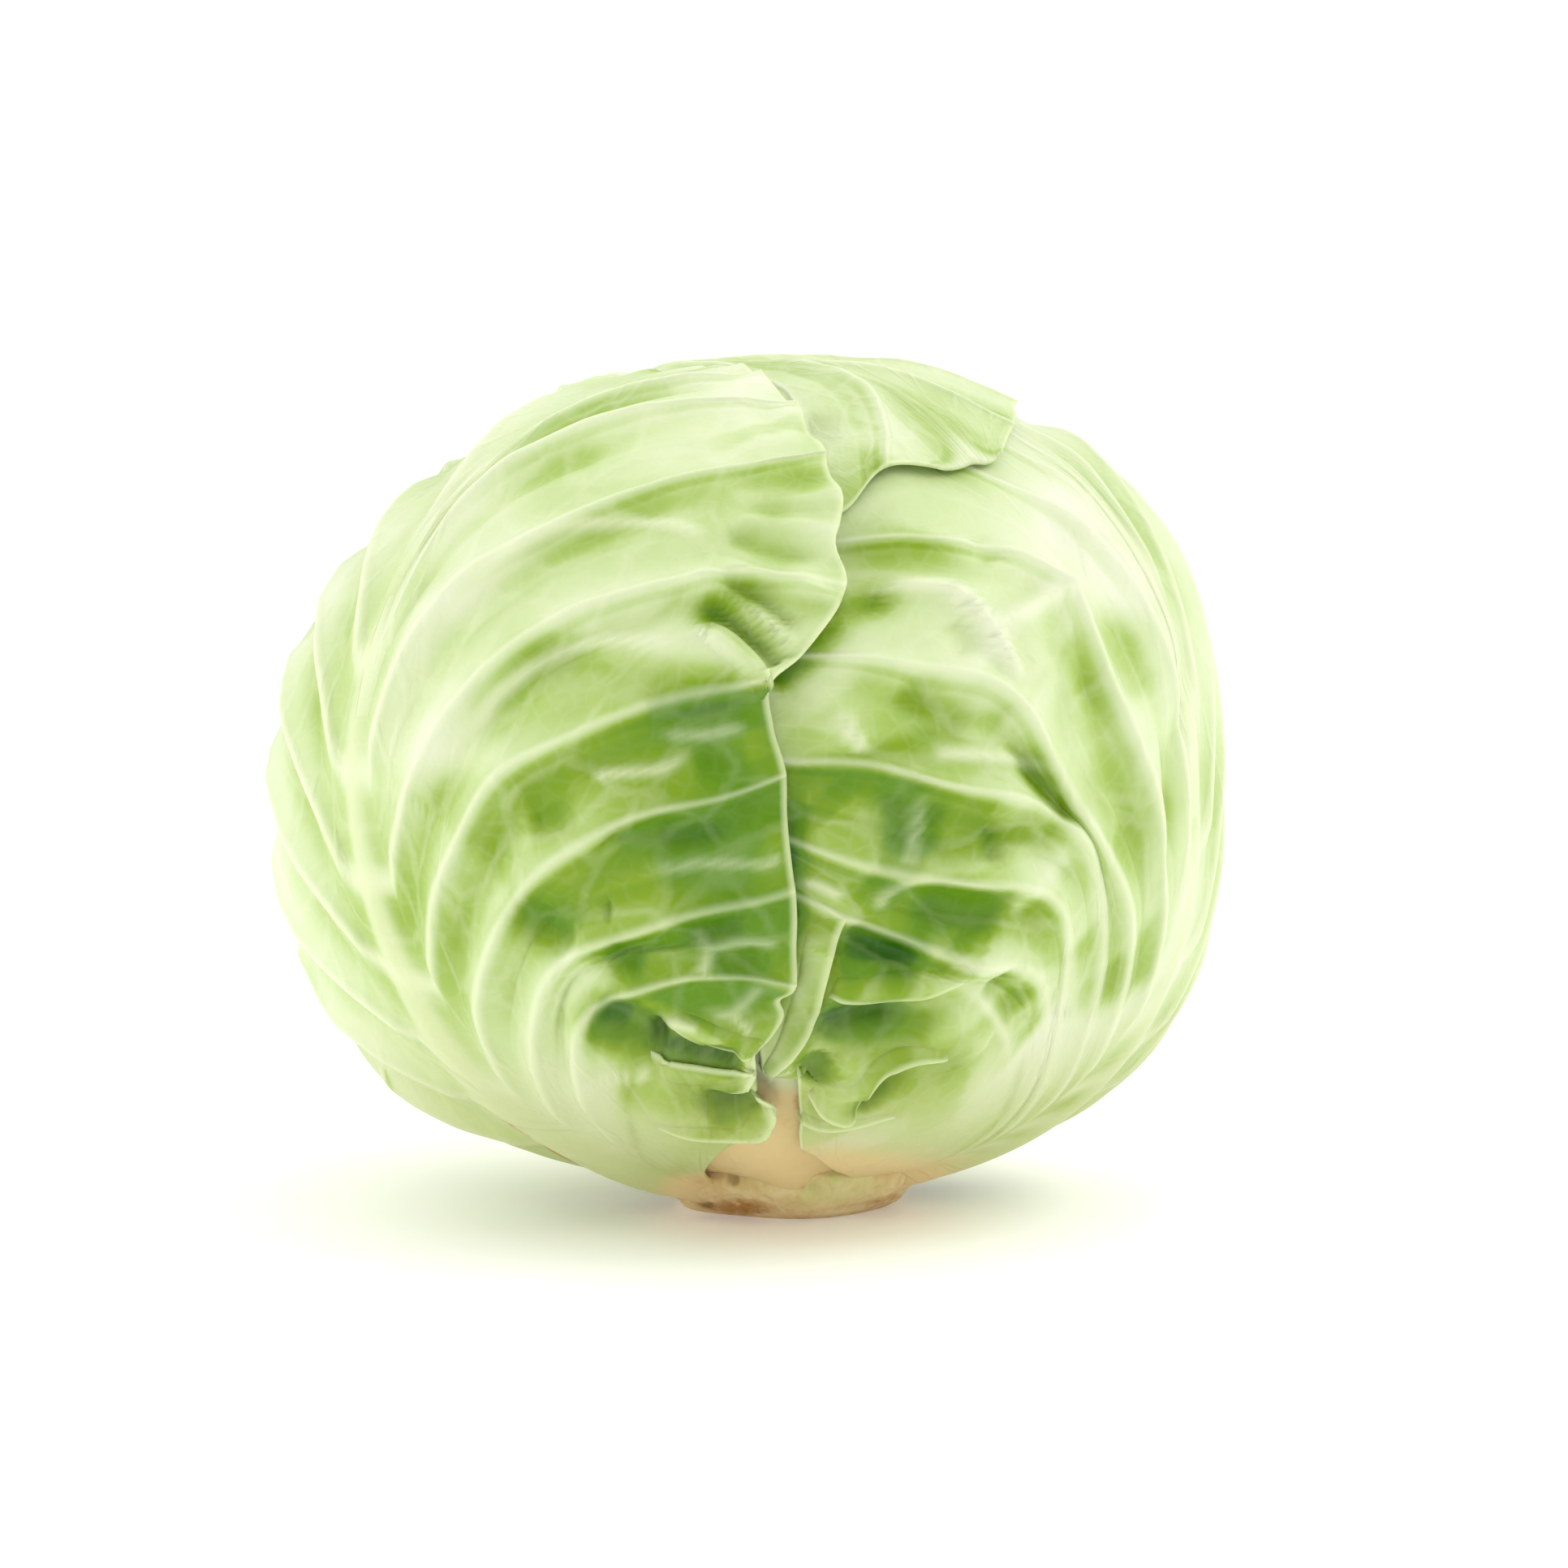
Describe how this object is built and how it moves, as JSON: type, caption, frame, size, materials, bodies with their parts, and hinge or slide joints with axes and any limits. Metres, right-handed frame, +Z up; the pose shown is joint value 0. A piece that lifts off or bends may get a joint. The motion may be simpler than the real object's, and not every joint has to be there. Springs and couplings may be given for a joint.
{
  "type": "cabbage head",
  "caption": "Round head of green cabbage with broad veined leaves wrapped one over another, standing on its cut stem.",
  "frame": {"origin": "middle of the stem's flat cut face, on the surface that the head stands on", "axes": "+Z up along the stem, -Y the front where the left leaf overlaps the right one, +X to the viewer's right"},
  "size_m": [0.176, 0.1711, 0.1568],
  "materials": {
    "outer_leaf": "waxy fresh leaf, soft sheen, pale veins and midrib",
    "inner_leaf": "waxy pale green leaf, soft sheen",
    "heart": "crisp pale yellow-green packed leaves",
    "cut_stem": "dry cream cut with brown fibres"
  },
  "bodies": {
    "root": {"leaf_left": "outer_leaf", "leaf_back": "outer_leaf", "leaf_right": "outer_leaf", "leaf_inner_left": "inner_leaf", "leaf_inner_right": "inner_leaf", "leaf_inner_front": "inner_leaf", "heart": "heart", "stem": "cut_stem"}
  },
  "joints": []
}
